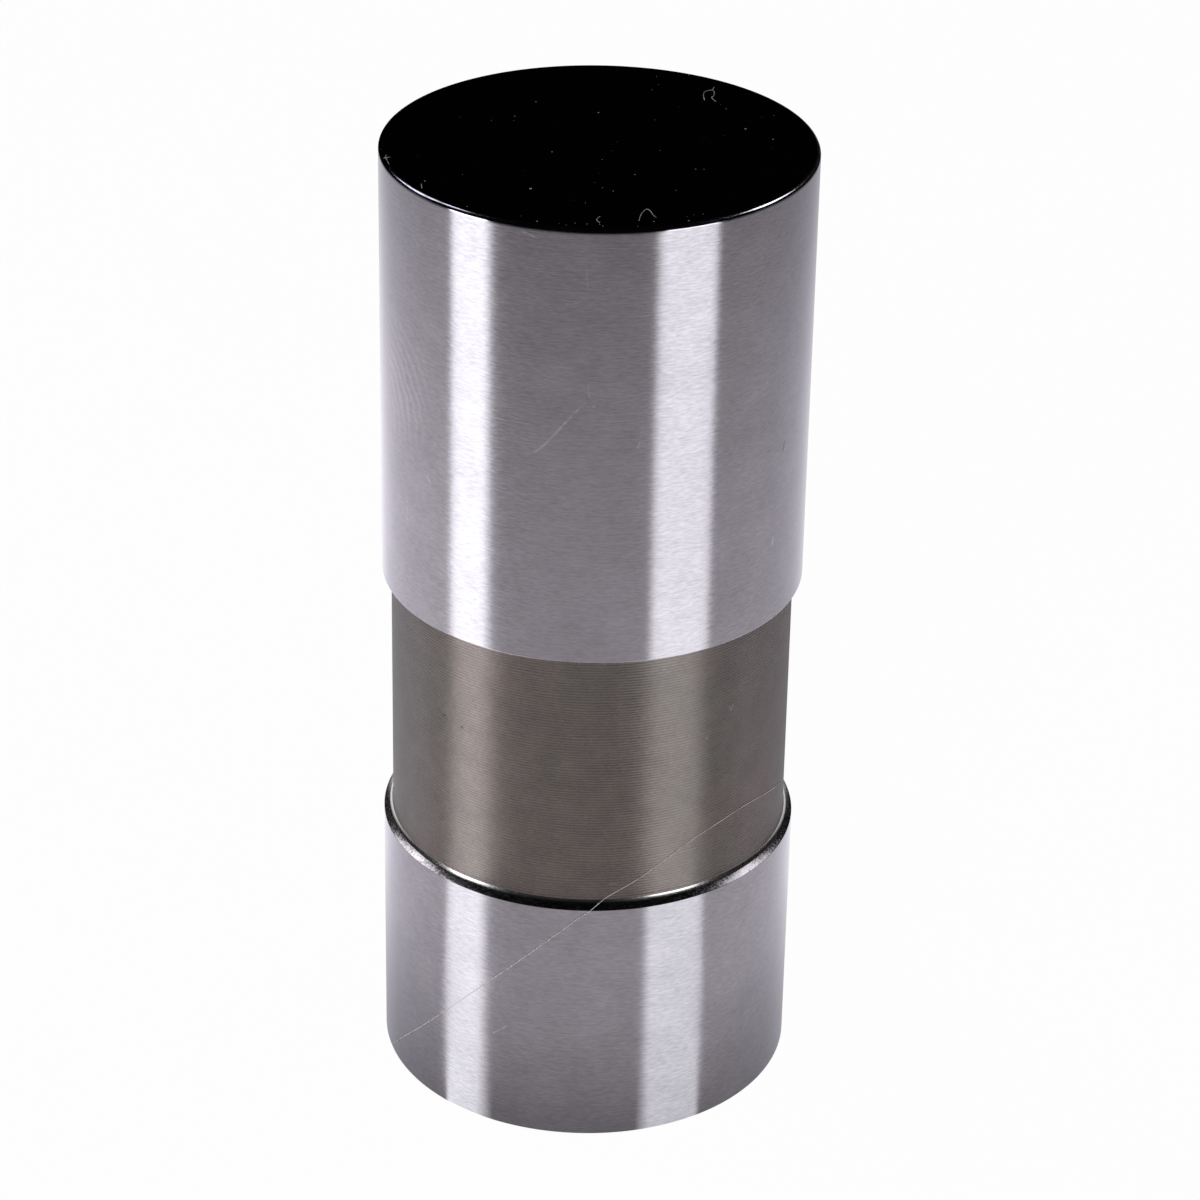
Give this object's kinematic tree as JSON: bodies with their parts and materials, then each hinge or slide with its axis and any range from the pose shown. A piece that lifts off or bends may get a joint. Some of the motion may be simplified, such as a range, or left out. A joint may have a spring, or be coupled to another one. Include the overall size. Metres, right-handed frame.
{
  "type": "hydraulic valve lifter",
  "caption": "Cylindrical hydraulic valve lifter with a flat cam foot, ground guide lands, an oil band between them and a spring-loaded plunger inside.",
  "frame": {"origin": "middle of the open end's rim, which the lifter stands on", "axes": "+Z along the lifter's axis towards the cam foot; the oil hole in the band faces +Y, and the picture looks from -Y"},
  "size_m": [0.0214, 0.0214, 0.0508],
  "materials": {
    "ground_steel": "ground, with a turned oil band and a black polished foot",
    "hardened_steel": "fine ground",
    "bearing_steel": "polished",
    "sheet_steel": "pressed, bare",
    "spring_steel": "drawn, oiled",
    "black_steel": "phosphated black"
  },
  "bodies": {
    "body": {"lifter_body": "ground_steel", "retaining_ring": "black_steel", "plunger_spring": "spring_steel"},
    "plunger": {"plunger": "hardened_steel", "pushrod_seat": "hardened_steel", "ball_cage": "sheet_steel", "ball_spring": "spring_steel"},
    "check_ball": {"check_ball": "bearing_steel"},
    "metering_disc": {"metering_disc": "hardened_steel"}
  },
  "joints": [
    {"name": "plunger_slide", "type": "slide", "parent": "body", "child": "plunger", "axis": [0, 0, 1], "range_m": [0, 0.004], "stiffness_N_per_m": 3500, "springref_m": -0.0047, "deforming": ["plunger_spring"]},
    {"name": "check_ball_lift", "type": "slide", "parent": "plunger", "child": "check_ball", "axis": [0, 0, 1], "range_m": [0, 0.0004], "stiffness_N_per_m": 200, "springref_m": -0.001, "deforming": ["ball_spring"]},
    {"name": "metering_disc_lift", "type": "slide", "parent": "plunger", "child": "metering_disc", "axis": [0, 0, 1], "range_m": [0, 0.00025]}
  ]
}
